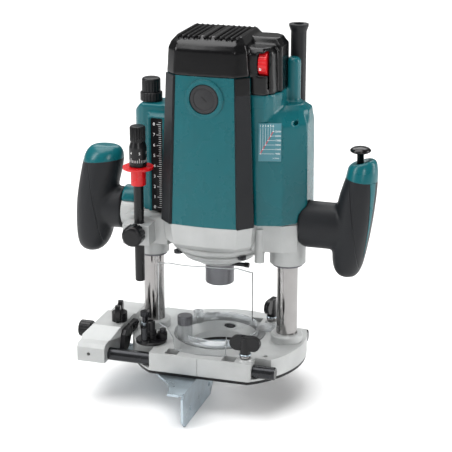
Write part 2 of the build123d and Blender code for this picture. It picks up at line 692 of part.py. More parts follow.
with BuildPart() as bearings:
    rod(0, 0, 278, 287.9, 13)
    rod(0, 0, 277, 289, 6.0 + slideFit, Mode.SUBTRACT)
    rod(0, 0, 114.1, 127.9, 17.6)
    rod(0, 0, 113, 129, 9.0 + slideFit, Mode.SUBTRACT)
save(bearings, "bearings")

with BuildPart() as armature_shaft:
    rod(0, 0, 126, 290, 6.0)
    rod(0, 0, 98, 132, 9.0)
    rod(0, 0, 78.6, 100, 10.0)
    rod(0, 0, 70, 101, 8.0, Mode.SUBTRACT)
    rod(0, 0, 100, 122, 6.02, Mode.SUBTRACT)
save(armature_shaft, "armature_shaft")

with BuildPart() as rotor_core:
    rod(0, 0, 168, 236, 24.4)
    rod(0, 0, 150, 240, 6.0, Mode.SUBTRACT)
    for step in range(12):
        angle = 2 * math.pi * step / 12
        rod(23.6 * math.cos(angle), 23.6 * math.sin(angle), 160, 240, 1.6, Mode.SUBTRACT)
save(rotor_core, "rotor_core")

with BuildPart() as commutator:
    rod(0, 0, 250, 272, 14.6)
    rod(0, 0, 240, 280, 6.0, Mode.SUBTRACT)
save(commutator, "commutator")

with BuildPart() as cooling_fan:
    rod(0, 0, 133, 136, 36)
    rod(0, 0, 133, 147, 11)
    for step in range(12):
        with Locations(Location((0, 0, 136), (0, 0, 30 * step))):
            with Locations((22.5, 0, 0)):
                Box(26, 1.6, 9, align=TOP)
    rod(0, 0, 120, 150, 6.0, Mode.SUBTRACT)
save(cooling_fan, "cooling_fan")

with BuildPart() as collet_cone:
    rod(0, 0, 78, 99.9, 8.0)
    taper(0, 0, 75.5, 78.01, 9.2, 8.0)
    rod(0, 0, 70, 101, 6.0, Mode.SUBTRACT)
    for turn in (0, 60, 120):
        with Locations(Location((0, 0, 82), (0, 0, turn))):
            Box(30, 0.8, 18, mode=Mode.SUBTRACT)
save(collet_cone, "collet_cone")

with BuildPart() as collet_nut:
    rod(0, 0, 73, 93.5, 13.8)
    fillet(collet_nut.edges().group_by(Axis.Z)[0], 1.6)
    rod(0, 0, 78.3, 95, 10.0 + slideFit, Mode.SUBTRACT)
    rod(0, 0, 75.3, 78.31, 9.6, Mode.SUBTRACT)
    rod(0, 0, 72, 76, 7.2, Mode.SUBTRACT)
save(collet_nut, "collet_nut")

with BuildPart() as shaft_collar:
    rod(0, 0, 93.8, 97.5, 13.4)
    rod(0, 0, 90, 99, 10.0, Mode.SUBTRACT)
save(shaft_collar, "shaft_collar")


# --- depth pole and its parts ---
with BuildPart() as stopper_pole:
    rod(poleX, poleY, poleBottom, 232, 4.6)
    chamfer(stopper_pole.edges().group_by(Axis.Z)[0], 0.8)
    rod(poleX, poleY, 190.6, 240, 3.0, Mode.SUBTRACT)
    rod(poleX, poleY, 192, 240, 8, Mode.SUBTRACT)
save(stopper_pole, "stopper_pole")

with BuildPart() as pole_knob:
    rod(poleX, poleY, 192.3, 210, 8.1)
    taper(poleX, poleY, 210, 215, 8.1, 6.8)
    rod(poleX, poleY, 215, 230, 6.8)
    fillet(pole_knob.edges().group_by(Axis.Z)[-1], 1)
    knurl(poleX, poleY, 219, 229, 7.0, 14, 0.7)
    rod(poleX, poleY, 190.7, 193, 2.9)
save(pole_knob, "pole_knob")

with BuildPart() as depth_pointer:
    rod(poleX, poleY, 174, 189.5, 7.0)
    rod(poleX, poleY, 189.5, 191.6, 14.3)
    rod(poleX, poleY, 170, 195, 4.6 + slideFit, Mode.SUBTRACT)
save(depth_pointer, "depth_pointer")

with BuildPart() as pole_clamp_knob:
    rodY(poleX, -61, -49, 129.5, 9.9)
    fillet(pole_clamp_knob.edges().group_by(Axis.Y)[0], 3.5)
    for step in range(10):
        angle = 2 * math.pi * step / 10
        rodY(poleX + 10.7 * math.cos(angle), -58.5, -48, 129.5 + 10.7 * math.sin(angle), 1.6,
             Mode.SUBTRACT)
    rodY(poleX, -50, -43, 129.5, 3.0)
save(pole_clamp_knob, "pole_clamp_knob")

with BuildPart() as lock_lever:
    rodY(-postX - 2, 16.5, 36, 129, 4.0)
    rodY(-postX - 2, 25.5, 36, 129, 9)
    with BuildSketch(Plane.XZ.offset(-36)):
        with Locations(Location((-postX - 2 - 8, 129 - 20), 0)):
            Rectangle(13, 44, rotation=-20)
    extrude(amount=7)
    fillet(lock_lever.edges().filter_by(Axis.Y).group_by(Axis.Z)[0], 3)
save(lock_lever, "lock_lever")

with BuildPart() as shaft_lock_button:
    rodX(17, 30, -15, 97.5, 2.0)
    rodX(29.2, 33.6, -15, 97.5, 2.5)
    fillet(shaft_lock_button.edges().group_by(Axis.X)[-1], 0.8)
save(shaft_lock_button, "shaft_lock_button")


# --- handles ---
leftGrip = [(93, -134, -124, 6), (98, -141.5, -116, 13), (110, -144, -109.5, 17),
            (131, -144, -106, 18.5), (158, -141, -102, 18.5), (176, -137.5, -97.5, 17.5),
            (184, -135.5, -96, 16.8)]
leftCap = [(184, -135.5, -96, 16.8), (192, -132.5, -96, 14.5), (197, -128, -98.5, 10.5),
           (199, -121, -104, 5)]
rightGrip = [(92, 118, 130, 6), (97, 112.5, 135, 12.5), (110, 109.5, 139.5, 16.5),
             (133, 110.5, 144, 18), (158, 112.5, 147.5, 18), (174, 116, 149, 17.5),
             (187, 120, 149.5, 16.5)]
rightCap = [(187, 120, 149.5, 16.5), (196, 122, 149.5, 14.5), (202, 125, 148.5, 11.5),
            (205, 130, 147, 7)]

with BuildPart() as left_grip:
    grip(leftGrip)
    neck(-128, -94.3, 117.5, 158.5, 15, 17)
    rodX(-123, -93, 0, 137, 9.02, Mode.SUBTRACT)
save(left_grip, "left_grip")

with BuildPart() as left_handle_cap:
    grip(leftCap)
save(left_handle_cap, "left_handle_cap")

with BuildPart() as right_grip:
    grip(rightGrip)
    neck(79.3, 128, 116.5, 161, 17, 15)
    rodX(78, 125, 0, 137, 9.02, Mode.SUBTRACT)
    rod(postX, 0, 100, 170, 17.01, Mode.SUBTRACT)
    block(118, 138, 8, 30, 141, 179, Mode.SUBTRACT)
    # groove of the coloured strip on the outer face
    block(139, 160, -5, 5, 106, 196, Mode.SUBTRACT)
save(right_grip, "right_grip")

with BuildPart() as grip_strip:
    grip(rightGrip)
    block(139, 160, -5, 5, 106, 187, Mode.INTERSECT)

with BuildPart() as right_handle_cap:
    grip(rightCap)
    rod(133, 0, 190, 215, 3.2 + slideFit, Mode.SUBTRACT)
    # the coloured strip down the outer face is part of the same shell
    add(grip_strip.part)
save(right_handle_cap, "right_handle_cap")

with BuildPart() as lock_off_button:
    rod(133, 0, 194.5, 211.5, 3.2)
    taper(133, 0, 210, 212.5, 6, 9.5)
    taper(133, 0, 212.5, 216, 9.5, 6)
save(lock_off_button, "lock_off_button")

with BuildPart() as switch_trigger:
    block(119, 137, 12.5, 22.5, 142.5, 177.5)
    fillet(switch_trigger.edges().group_by(Axis.Y)[-1], 2)
save(switch_trigger, "switch_trigger")
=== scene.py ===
# Plunge router with side grips: finishes, refined pieces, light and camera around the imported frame.
import json
import math

import bmesh
import bpy
from mathutils import Matrix, Vector


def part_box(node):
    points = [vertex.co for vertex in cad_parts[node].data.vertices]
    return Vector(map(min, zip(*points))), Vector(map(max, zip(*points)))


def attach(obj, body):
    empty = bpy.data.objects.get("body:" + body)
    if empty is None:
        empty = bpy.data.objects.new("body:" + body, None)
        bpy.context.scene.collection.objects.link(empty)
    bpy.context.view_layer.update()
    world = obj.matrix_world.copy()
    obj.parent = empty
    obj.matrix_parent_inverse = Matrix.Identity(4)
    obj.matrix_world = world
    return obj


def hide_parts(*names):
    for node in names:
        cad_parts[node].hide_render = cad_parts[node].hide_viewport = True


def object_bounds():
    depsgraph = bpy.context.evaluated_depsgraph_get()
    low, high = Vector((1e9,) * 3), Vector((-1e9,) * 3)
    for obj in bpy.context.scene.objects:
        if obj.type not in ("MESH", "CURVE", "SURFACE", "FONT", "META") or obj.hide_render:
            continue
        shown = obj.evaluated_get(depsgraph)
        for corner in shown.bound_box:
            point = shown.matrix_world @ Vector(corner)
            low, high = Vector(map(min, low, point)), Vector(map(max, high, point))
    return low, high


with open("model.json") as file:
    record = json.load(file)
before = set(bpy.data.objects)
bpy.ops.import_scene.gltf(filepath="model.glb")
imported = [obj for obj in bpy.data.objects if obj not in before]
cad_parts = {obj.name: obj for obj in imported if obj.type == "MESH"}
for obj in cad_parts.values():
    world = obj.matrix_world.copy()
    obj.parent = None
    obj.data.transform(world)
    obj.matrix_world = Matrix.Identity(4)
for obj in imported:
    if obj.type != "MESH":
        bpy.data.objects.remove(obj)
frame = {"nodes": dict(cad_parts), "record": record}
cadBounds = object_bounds()
mm = 0.001
slotOf = {part["node"]: part["material_slot"] for part in frame["record"]["subparts"]}
print("frame loaded,", len(frame["nodes"]), "nodes")


# finishes
def surfaceFinish(title, look):
    # moulded, painted or plated: slow colour drift, fine grain, softened edges
    material = bpy.data.materials.new(title)
    material.use_nodes = True
    nodes = material.node_tree.nodes
    links = material.node_tree.links
    shader = nodes["Principled BSDF"]
    place = nodes.new("ShaderNodeTexCoord")

    drift = nodes.new("ShaderNodeTexNoise")
    drift.inputs["Scale"].default_value = look.get("driftScale", 45)
    drift.inputs["Detail"].default_value = 4
    links.new(place.outputs["Object"], drift.inputs["Vector"])
    shade = nodes.new("ShaderNodeValToRGB")
    spread = look.get("spread", 0.08)
    for stop, position, factor in zip(shade.color_ramp.elements, (0.3, 0.7), (1 - spread, 1 + spread)):
        stop.position = position
        stop.color = [min(1, c * factor) for c in look["colour"]] + [1]
    links.new(drift.outputs["Fac"], shade.inputs["Fac"])
    links.new(shade.outputs["Color"], shader.inputs["Base Color"])

    polish = nodes.new("ShaderNodeMapRange")
    polish.inputs["From Min"].default_value = 0.3
    polish.inputs["From Max"].default_value = 0.7
    polish.inputs["To Min"].default_value = look["rough"] * 0.85
    polish.inputs["To Max"].default_value = min(1, look["rough"] * 1.15)
    links.new(drift.outputs["Fac"], polish.inputs["Value"])
    links.new(polish.outputs["Result"], shader.inputs["Roughness"])

    edge = nodes.new("ShaderNodeBevel")
    edge.samples = 4
    edge.inputs["Radius"].default_value = look.get("edge", 0.5) * mm
    grain = nodes.new("ShaderNodeTexNoise")
    grain.inputs["Scale"].default_value = look.get("grainScale", 1800)
    grain.inputs["Detail"].default_value = 3
    links.new(place.outputs["Object"], grain.inputs["Vector"])
    relief = nodes.new("ShaderNodeBump")
    relief.inputs["Strength"].default_value = look.get("grain", 0.1)
    relief.inputs["Distance"].default_value = 0.1 * mm
    links.new(grain.outputs["Fac"], relief.inputs["Height"])
    links.new(edge.outputs["Normal"], relief.inputs["Normal"])
    links.new(relief.outputs["Normal"], shader.inputs["Normal"])

    shader.inputs["Metallic"].default_value = look.get("metal", 0)
    shader.inputs["Transmission Weight"].default_value = look.get("clear", 0)
    shader.inputs["IOR"].default_value = look.get("bend", 1.45)
    shader.inputs["Specular IOR Level"].default_value = look.get("sheen", 0.5)
    return material


def addSeam(material, seam):
    # a moulding seam: a fine groove where a leaning plane across X meets the surface
    nodes = material.node_tree.nodes
    links = material.node_tree.links
    place = nodes.new("ShaderNodeTexCoord")
    centre = nodes.new("ShaderNodeMapping")
    centre.vector_type = "TEXTURE"
    centre.inputs["Location"].default_value = (seam["x"] * mm, 0, seam["z"] * mm)
    centre.inputs["Rotation"].default_value = (0, math.radians(seam["lean"]), 0)
    links.new(place.outputs["Object"], centre.inputs["Vector"])
    axes = nodes.new("ShaderNodeSeparateXYZ")
    links.new(centre.outputs["Vector"], axes.inputs["Vector"])
    away = nodes.new("ShaderNodeMath")
    away.operation = "ABSOLUTE"
    links.new(axes.outputs["X"], away.inputs[0])
    groove = nodes.new("ShaderNodeMapRange")
    groove.inputs["From Max"].default_value = seam["half"] * mm
    links.new(away.outputs["Value"], groove.inputs["Value"])
    dent = nodes.new("ShaderNodeBump")
    dent.inputs["Strength"].default_value = 1
    dent.inputs["Distance"].default_value = seam["depth"] * mm
    links.new(groove.outputs["Result"], dent.inputs["Height"])
    relief = next(n for n in nodes if n.bl_idname == "ShaderNodeBump" and n != dent)
    shader = nodes["Principled BSDF"]
    links.new(relief.outputs["Normal"], dent.inputs["Normal"])
    links.new(dent.outputs["Normal"], shader.inputs["Normal"])
    return material


finishLooks = {
    "cast_silver": dict(colour=(0.43, 0.44, 0.437), rough=0.42, metal=0.2, sheen=0.4, grain=0.3,
                        grainScale=1400, edge=0.9),
    "sole_black": dict(colour=(0.008, 0.008, 0.009), rough=0.4, sheen=0.3),
    "bright_steel": dict(colour=(0.30, 0.292, 0.288), rough=0.15, metal=1, grain=0.04),
    "zinc_steel": dict(colour=(0.42, 0.49, 0.54), rough=0.3, metal=0.9, driftScale=70, spread=0.14),
    "dark_steel": dict(colour=(0.03, 0.031, 0.034), rough=0.26, metal=0.7),
    "clear_plastic": dict(colour=(0.935, 0.945, 0.95), rough=0.04, clear=1, bend=1.14, spread=0.01,
                          grain=0.01),
    "black_plastic": dict(colour=(0.006, 0.006, 0.007), rough=0.3, grain=0.12, sheen=0.35),
    "black_gloss": dict(colour=(0.003, 0.003, 0.0035), rough=0.2, grain=0.02, edge=1.2, sheen=0.4),
    "dark_rubber": dict(colour=(0.010, 0.011, 0.013), rough=0.46, grain=0.3, grainScale=2200, edge=0.8,
                        sheen=0.3),
    "teal_plastic": dict(colour=(0.002, 0.098, 0.115), rough=0.28, grain=0.05, grainScale=2600, spread=0.04,
                         edge=0.9, sheen=0.4),
    "red_plastic": dict(colour=(0.58, 0.006, 0.01), rough=0.28, grain=0.05),
    "tool_steel": dict(colour=(0.13, 0.13, 0.14), rough=0.36, metal=0.7),
    "core_steel": dict(colour=(0.25, 0.25, 0.26), rough=0.4, metal=0.9, grain=0.2),
    "copper": dict(colour=(0.62, 0.22, 0.09), rough=0.35, metal=0.9, grain=0.2),
    "carbon": dict(colour=(0.02, 0.02, 0.02), rough=0.7, grain=0.4),
}
finishes = {slot: surfaceFinish(slot, look) for slot, look in finishLooks.items()}
whiteInk = surfaceFinish("white_ink", dict(colour=(0.82, 0.83, 0.83), rough=0.5, spread=0.04, edge=0.05))
redInk = surfaceFinish("red_ink", dict(colour=(0.6, 0.02, 0.04), rough=0.5, spread=0.06, edge=0.05))
chartTint = surfaceFinish("chart_tint", dict(colour=(0.05, 0.19, 0.23), rough=0.35, spread=0.04, edge=0.05))
collarClear = surfaceFinish("collar_clear", dict(colour=(0.86, 0.88, 0.89), rough=0.12, clear=0.72, bend=1.05,
                                                 spread=0.02, grain=0.03))
# grey for the clear guard's edge faces: painted shade standing in for the outline of the clear edges
paintedOutlineGrey = surfaceFinish("painted_outline_grey", dict(colour=(0.50, 0.52, 0.53), rough=0.2, spread=0.03, grain=0.05))
capGrey = surfaceFinish("cap_grey", dict(colour=(0.026, 0.026, 0.028), rough=0.5, sheen=0.35, grain=0.2))
# near-black for the brush cap slots: painted shade of a recessed slot
slotShadeBlack = surfaceFinish("slot_shade_black", dict(colour=(0.004, 0.004, 0.004), rough=0.6, spread=0.1, edge=0.1))
for node, piece in frame["nodes"].items():
    for place in piece.material_slots:
        place.material = finishes[slotOf[node]]
print("finishes made")


# shared steps
def carriedShape(*nodes):
    # CAD nodes as one bmesh with their doubles merged
    shape = bmesh.new()
    for node in nodes:
        shape.from_mesh(frame["nodes"][node].data)
    bmesh.ops.remove_doubles(shape, verts=shape.verts, dist=0.002 * mm)
    return shape


def makePiece(title, shape, body, slot, finish=None, stands=(), sharp=32):
    # a finished piece that rides on a body, in the finish of its slot or its own
    data = bpy.data.meshes.new(title)
    shape.to_mesh(data)
    shape.free()
    data.materials.append(finish or finishes[slot])
    data.shade_smooth()
    data.set_sharp_from_angle(angle=math.radians(sharp))
    piece = bpy.data.objects.new(title, data)
    bpy.context.scene.collection.objects.link(piece)
    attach(piece, body)
    if stands:
        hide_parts(*stands)
    return piece


def softened(shape, voxel, rounds):
    # one even skin over the shape, its edges worn round
    data = bpy.data.meshes.new("soft_work")
    shape.to_mesh(data)
    shape.free()
    work = bpy.data.objects.new("soft_work", data)
    bpy.context.scene.collection.objects.link(work)
    skin = work.modifiers.new("skin", "REMESH")
    skin.mode = "VOXEL"
    skin.voxel_size = voxel * mm
    wear = work.modifiers.new("wear", "SMOOTH")
    wear.factor = 0.5
    wear.iterations = rounds
    settled = bpy.data.meshes.new_from_object(work.evaluated_get(bpy.context.evaluated_depsgraph_get()))
    bpy.data.objects.remove(work)
    soft = bmesh.new()
    soft.from_mesh(settled)
    return soft


def cutAway(shape, point, normal, close=True):
    # everything beyond the plane goes, and the cut is closed
    cut = bmesh.ops.bisect_plane(shape, geom=shape.verts[:] + shape.edges[:] + shape.faces[:], dist=0,
                                 plane_co=point, plane_no=normal, clear_outer=True)
    if close:
        rim = [e for e in cut["geom_cut"] if isinstance(e, bmesh.types.BMEdge) and e.is_boundary]
        bmesh.ops.holes_fill(shape, edges=rim)


def lathed(profile, steps=48):
    # a closed outline of radius and height turned about Z
    shape = bmesh.new()
    ring = [shape.verts.new((r * mm, 0, z * mm)) for r, z in profile]
    edges = [shape.edges.new((a, b)) for a, b in zip(ring, ring[1:] + ring[:1])]
    bmesh.ops.spin(shape, geom=ring + edges, cent=(0, 0, 0), axis=(0, 0, 1), angle=math.tau, steps=steps,
                   use_merge=True)
    bmesh.ops.recalc_face_normals(shape, faces=shape.faces)
    return shape


def addBox(shape, low, high, bevel=0.0, place=None):
    # a bar between two corners in mm, its edges bevelled
    made = bmesh.ops.create_cube(shape, size=1)["verts"]
    size = [(b - a) * mm for a, b in zip(low, high)]
    middle = [(a + b) / 2 * mm for a, b in zip(low, high)]
    bmesh.ops.scale(shape, verts=made, vec=size)
    bmesh.ops.translate(shape, verts=made, vec=middle)
    if bevel:
        edges = list({e for v in made for e in v.link_edges})
        made = bmesh.ops.bevel(shape, geom=edges, offset=bevel * mm, offset_type="OFFSET", affect="EDGES",
                               segments=2, profile=0.5, material=-1)["verts"]
        made = list({v for v in made} | {v for f in {f for v in made for f in v.link_faces} for v in f.verts})
    if place:
        bmesh.ops.transform(shape, matrix=place, verts=made)


def addText(shape, words, size, place, thick=0.06):
    # raised lettering in the local XY plane, read along X
    curve = bpy.data.curves.new("words", "FONT")
    curve.body = words
    curve.size = size * mm
    curve.extrude = thick * mm / 2
    curve.align_x = "CENTER"
    curve.align_y = "CENTER"
    curve.resolution_u = 3
    holder = bpy.data.objects.new("words", curve)
    bpy.context.scene.collection.objects.link(holder)
    bpy.context.view_layer.update()
    letters = bpy.data.meshes.new_from_object(holder.evaluated_get(bpy.context.evaluated_depsgraph_get()))
    bpy.data.objects.remove(holder)
    letters.transform(place)
    shape.from_mesh(letters)
    bpy.data.meshes.remove(letters)


def leaningPlane(origin, across, up):
    # a frame whose X runs across, whose Y runs up and whose Z faces out
    x = Vector(across).normalized()
    y = (Vector(up) - Vector(up).dot(x) * x).normalized()
    z = x.cross(y)
    return Matrix.Translation(Vector(origin) * mm) @ Matrix((x, y, z)).transposed().to_4x4()


# grips: rubber over the moulded handles, with the coloured caps
gripPlan = dict(voxel=1.3, rounds=14, capLean=7.0, dishAt=(133, 0), dishAbove=196, dishRadius=11,
                dishDepth=4.5, pocketX=(117.8, 138.2), pocketZ=(141.3, 178.7), pocketFloor=7.8,
                stripeBeyond=128, stripeFrom=(-5.5, -12.5), stripeTop=190, stripeLow=105, stripeThick=0.45,
                stripeProud=0.3)


def dishTop(shape):
    # a shallow dish round the button
    for v in shape.verts:
        away = math.hypot(v.co.x / mm - gripPlan["dishAt"][0], v.co.y / mm - gripPlan["dishAt"][1])
        if v.co.z > gripPlan["dishAbove"] * mm and away < gripPlan["dishRadius"]:
            v.co.z -= gripPlan["dishDepth"] * mm * (1 - (away / gripPlan["dishRadius"]) ** 2)


def sinkPocket(shape):
    # the pocket behind the trigger, deep enough for its travel
    for v in shape.verts:
        acrossIt = gripPlan["pocketX"][0] < v.co.x / mm < gripPlan["pocketX"][1]
        alongIt = gripPlan["pocketZ"][0] < v.co.z / mm < gripPlan["pocketZ"][1]
        if acrossIt and alongIt and v.co.y > gripPlan["pocketFloor"] * mm:
            v.co.y = gripPlan["pocketFloor"] * mm


def makeStripe(whole, parting, up):
    # a coloured stripe that tapers down the outer front of the grip
    band = whole.copy()
    nearSide, farSide = gripPlan["stripeFrom"]
    sides = (((gripPlan["stripeBeyond"], 0, 0), (-1, 0, 0)), ((0, nearSide, 0), (0, 1, 0)),
             ((0, farSide, gripPlan["stripeTop"]), (0, -1, -0.09)),
             ((0, 0, gripPlan["stripeLow"]), (0, 0, -1)))
    for point, normal in sides:
        cutAway(band, Vector(point) * mm, Vector(normal), close=False)
    cutAway(band, parting + Vector((0, 0, 0.5 * mm)), up, close=False)
    bmesh.ops.solidify(band, geom=band.faces[:], thickness=gripPlan["stripeThick"] * mm)
    bmesh.ops.translate(band, verts=band.verts, vec=(gripPlan["stripeProud"] * mm, 0, 0))
    makePiece("grip_stripe_front", band, "motor", "teal_plastic")


def makeGrip(side, centre):
    whole = carriedShape(side + "_grip", side + "_handle_cap")
    whole = softened(whole, gripPlan["voxel"], gripPlan["rounds"])
    lean = math.radians(gripPlan["capLean"]) * (1 if side == "right" else -1)
    parting = Vector((centre["x"] * mm, 0, centre["capAt"] * mm))
    up = Vector((math.sin(lean), 0, math.cos(lean)))
    if side == "right":
        dishTop(whole)
        sinkPocket(whole)
    cap = whole.copy()
    cutAway(whole, parting, up)
    cutAway(cap, parting, -up)
    rubber = surfaceFinish(side + "_grip_rubber", finishLooks["dark_rubber"])
    addSeam(rubber, dict(x=centre["x"], z=centre["z"], lean=centre["lean"], half=0.5, depth=0.5))
    if side == "right":
        makeStripe(whole, parting, up)
    makePiece(side + "_grip_rubber", whole, "motor", "dark_rubber", rubber, [side + "_grip"], sharp=50)
    makePiece(side + "_grip_cap", cap, "motor", "teal_plastic", None, [side + "_handle_cap"], sharp=50)


makeGrip("left", dict(x=-121.5, z=150, lean=-8.5, capAt=184))
makeGrip("right", dict(x=130.5, z=150, lean=-6.5, capAt=187))
print("grips made")


# mushroom button on the right grip
buttonPlan = dict(x=133, profile=((0.05, 194.5), (3.2, 194.5), (3.2, 209.0), (4.4, 210.0), (7.6, 210.8),
                                  (9.4, 211.9), (9.7, 212.8), (9.2, 213.8), (7.4, 215.1),
                                  (4.6, 216.0), (0.05, 216.4)))
mushroom = lathed(buttonPlan["profile"], 48)
bmesh.ops.translate(mushroom, verts=mushroom.verts, vec=(buttonPlan["x"] * mm, 0, 0))
makePiece("mushroom_button", mushroom, "lock_off", "black_gloss", None, ["lock_off_button"], sharp=60)
print("button made")


# top cover: softened shell with rounded ribs over the grille
coverPlan = dict(voxel=0.9, rounds=5, ribs=12, firstRib=-27.5, pitch=5.0, ribRadius=1.45, ribTop=316.2,
                 front=-37.5, back=21.0)
cover = softened(carriedShape("top_cover"), coverPlan["voxel"], coverPlan["rounds"])
makePiece("cover_shell", cover, "motor", "black_gloss", None, ["top_cover"], sharp=60)
ribs = bmesh.new()
for count in range(coverPlan["ribs"]):
    x = coverPlan["firstRib"] + coverPlan["pitch"] * count
    made = bmesh.ops.create_uvsphere(ribs, u_segments=12, v_segments=8,
                                     radius=coverPlan["ribRadius"] * mm)["verts"]
    bmesh.ops.rotate(ribs, verts=made, cent=(0, 0, 0), matrix=Matrix.Rotation(math.pi / 2, 3, "X"))
    reach = (coverPlan["back"] - coverPlan["front"]) / 2 - coverPlan["ribRadius"]
    for v in made:
        if abs(v.co.y) > 0.01 * mm:
            v.co.y += math.copysign(reach * mm, v.co.y)
    bmesh.ops.translate(ribs, verts=made, vec=(x * mm, (coverPlan["front"] + coverPlan["back"]) / 2 * mm,
                                               (coverPlan["ribTop"] - coverPlan["ribRadius"]) * mm))
makePiece("grille_ribs", ribs, "motor", "black_gloss")
print("cover made")


# tower covers, softened
towerPlan = dict(voxel=1.1, rounds=5)
for side in ("left", "right"):
    tower = softened(carriedShape(side + "_column_cover"), towerPlan["voxel"], towerPlan["rounds"])
    makePiece(side + "_tower", tower, "motor", "teal_plastic", None, [side + "_column_cover"], sharp=60)
print("towers made")


# post springs: drawn at their length at full plunge, so they stay inside the columns in every pose
springPlan = dict(travel=31.5)
for side in ("left", "right"):
    node = "spring_" + side
    springLow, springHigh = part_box(node)
    share = 1 - springPlan["travel"] * mm / (springHigh[2] - springLow[2])
    spring = carriedShape(node)
    foot = Matrix.Translation((0, 0, -springLow[2]))
    bmesh.ops.scale(spring, vec=(1, 1, share), space=foot, verts=spring.verts)
    makePiece("post_spring_" + side, spring, "base", slotOf[node], None, [node])
print("post springs made")


# brush cap rings and slots
brushPlan = dict(z=261, ringIn=13.9, ringOut=18.0, slotLong=6.5, slotWide=1.1)
brushCapProfile = ((0.01, -2.5), (0.01, 0.35), (8.6, 0.35), (9.2, 0.0), (9.8, 0.0), (10.2, 0.5), (12.6, 0.5),
                   (13.4, -0.2), (13.4, -2.5))
capLow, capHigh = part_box("brush_caps")
for side, face in ((-1, capLow[1] / mm), (1, capHigh[1] / mm)):
    label = "front" if side < 0 else "back"
    facing = Matrix.Rotation(-side * math.pi / 2, 4, "X")
    stand = Matrix.Translation((0, face * mm, brushPlan["z"] * mm)) @ facing
    ringIn, ringOut = brushPlan["ringIn"], brushPlan["ringOut"]
    ring = lathed([(ringIn, -3), (ringIn, 0.2), (ringIn + 0.7, 0.9), (ringOut - 1.2, 0.9), (ringOut, 0),
                   (ringOut, -3)], 64)
    bmesh.ops.transform(ring, matrix=stand, verts=ring.verts)
    makePiece("brush_ring_" + label, ring, "motor", "teal_plastic")
    cap = lathed(brushCapProfile, 64)
    bmesh.ops.transform(cap, matrix=stand, verts=cap.verts)
    makePiece("brush_cap_" + label, cap, "motor", "black_plastic", capGrey, ["brush_caps"])
    # the slot is a thin near-black bar just proud of the cap; its black is painted shade standing in for the
    # shadow inside the recessed slot
    notch = bmesh.new()
    halfLong, halfWide = brushPlan["slotLong"] / 2, brushPlan["slotWide"] / 2
    addBox(notch, (-halfLong, -halfWide, 0.1), (halfLong, halfWide, 0.5), 0.05,
           stand @ Matrix.Rotation(-math.pi / 4, 4, "Z"))
    makePiece("brush_slot_" + label, notch, "motor", "black_plastic", slotShadeBlack)
print("brush caps made")


# speed chart on the right panel: one upright and one level line for each setting
chartPlan = dict(centre=(56.1, -28.75, 221.5), across=(21.92, 5.91, 0), up=(0, 0.028, 1), wide=20.5, high=35,
                 speeds=(9, 11, 14, 17, 20, 22), firstX=-8.6, stepX=2.3, firstFoot=-10.5, stepFoot=4.1,
                 top=13.2, right=4.4, line=0.1, dot=0.4, figureAt=15.0, speedAt=7.2, unitAt=(5.6, -14.6))
redPlan = dict(half=12.2, line=0.3, centre=(-2.85, -0.25))
sheetPlace = leaningPlane(chartPlan["centre"], chartPlan["across"], chartPlan["up"])
panel = bmesh.new()
halfWide, halfHigh = chartPlan["wide"] / 2, chartPlan["high"] / 2
addBox(panel, (-halfWide, -halfHigh, 0.1), (halfWide, halfHigh, 0.5), 0.1, sheetPlace)
makePiece("chart_panel", panel, "motor", "teal_plastic", chartTint)


def onSheet(x, y):
    # a place on the face of the chart
    return sheetPlace @ Matrix.Translation((x * mm, y * mm, 0.53 * mm))


inkLines, redLine = bmesh.new(), bmesh.new()
for step, speed in enumerate(chartPlan["speeds"]):
    x = chartPlan["firstX"] + chartPlan["stepX"] * step
    foot = chartPlan["firstFoot"] + chartPlan["stepFoot"] * step
    line, dot = chartPlan["line"], chartPlan["dot"]
    addBox(inkLines, (x - line, foot, -0.05), (x + line, chartPlan["top"], 0.05), 0, onSheet(0, 0))
    addBox(inkLines, (x, foot - line, -0.05), (chartPlan["right"], foot + line, 0.05), 0, onSheet(0, 0))
    addBox(inkLines, (x - dot, foot - dot, 0.06), (x + dot, foot + dot, 0.12), 0, onSheet(0, 0))
    addText(inkLines, str(step + 1), 3.0, onSheet(x, chartPlan["figureAt"]))
    addText(inkLines, str(speed) + "000", 2.1, onSheet(chartPlan["speedAt"], foot))
addText(inkLines, "n 1/min", 1.9, onSheet(*chartPlan["unitAt"]))
slope = math.atan2(chartPlan["stepFoot"], chartPlan["stepX"])
addBox(redLine, (-redPlan["half"], -redPlan["line"], -0.02), (redPlan["half"], redPlan["line"], 0.07), 0,
       onSheet(*redPlan["centre"]) @ Matrix.Rotation(slope, 4, "Z"))
makePiece("chart_ink", inkLines, "motor", "teal_plastic", whiteInk)
makePiece("chart_line", redLine, "motor", "red_plastic", redInk)
print("speed chart made")


# depth scale marks
scalePlan = dict(figuresAt=-58.0, right=-51.0, low=147, step=2, count=42, face=-18.0, longReach=4.4,
                 reach=2.4, line=0.18, figureSize=4.2)
scaleInk = bmesh.new()
scalePlace = leaningPlane((0, scalePlan["face"] - 0.03, 0), (1, 0, 0), (0, 0, 1))
for count in range(scalePlan["count"]):
    z = scalePlan["low"] + scalePlan["step"] * count
    tens = count % 5 == 0
    reach = scalePlan["longReach" if tens else "reach"]
    addBox(scaleInk, (scalePlan["right"] - reach, z - scalePlan["line"], -0.05),
           (scalePlan["right"], z + scalePlan["line"], 0.05), 0, scalePlace)
    if tens:
        figurePlace = scalePlace @ Matrix.Translation((scalePlan["figuresAt"] * mm, z * mm, 0))
        addText(scaleInk, str(count // 5), scalePlan["figureSize"], figurePlace)
makePiece("scale_ink", scaleInk, "motor", "black_plastic", whiteInk)
print("scale made")


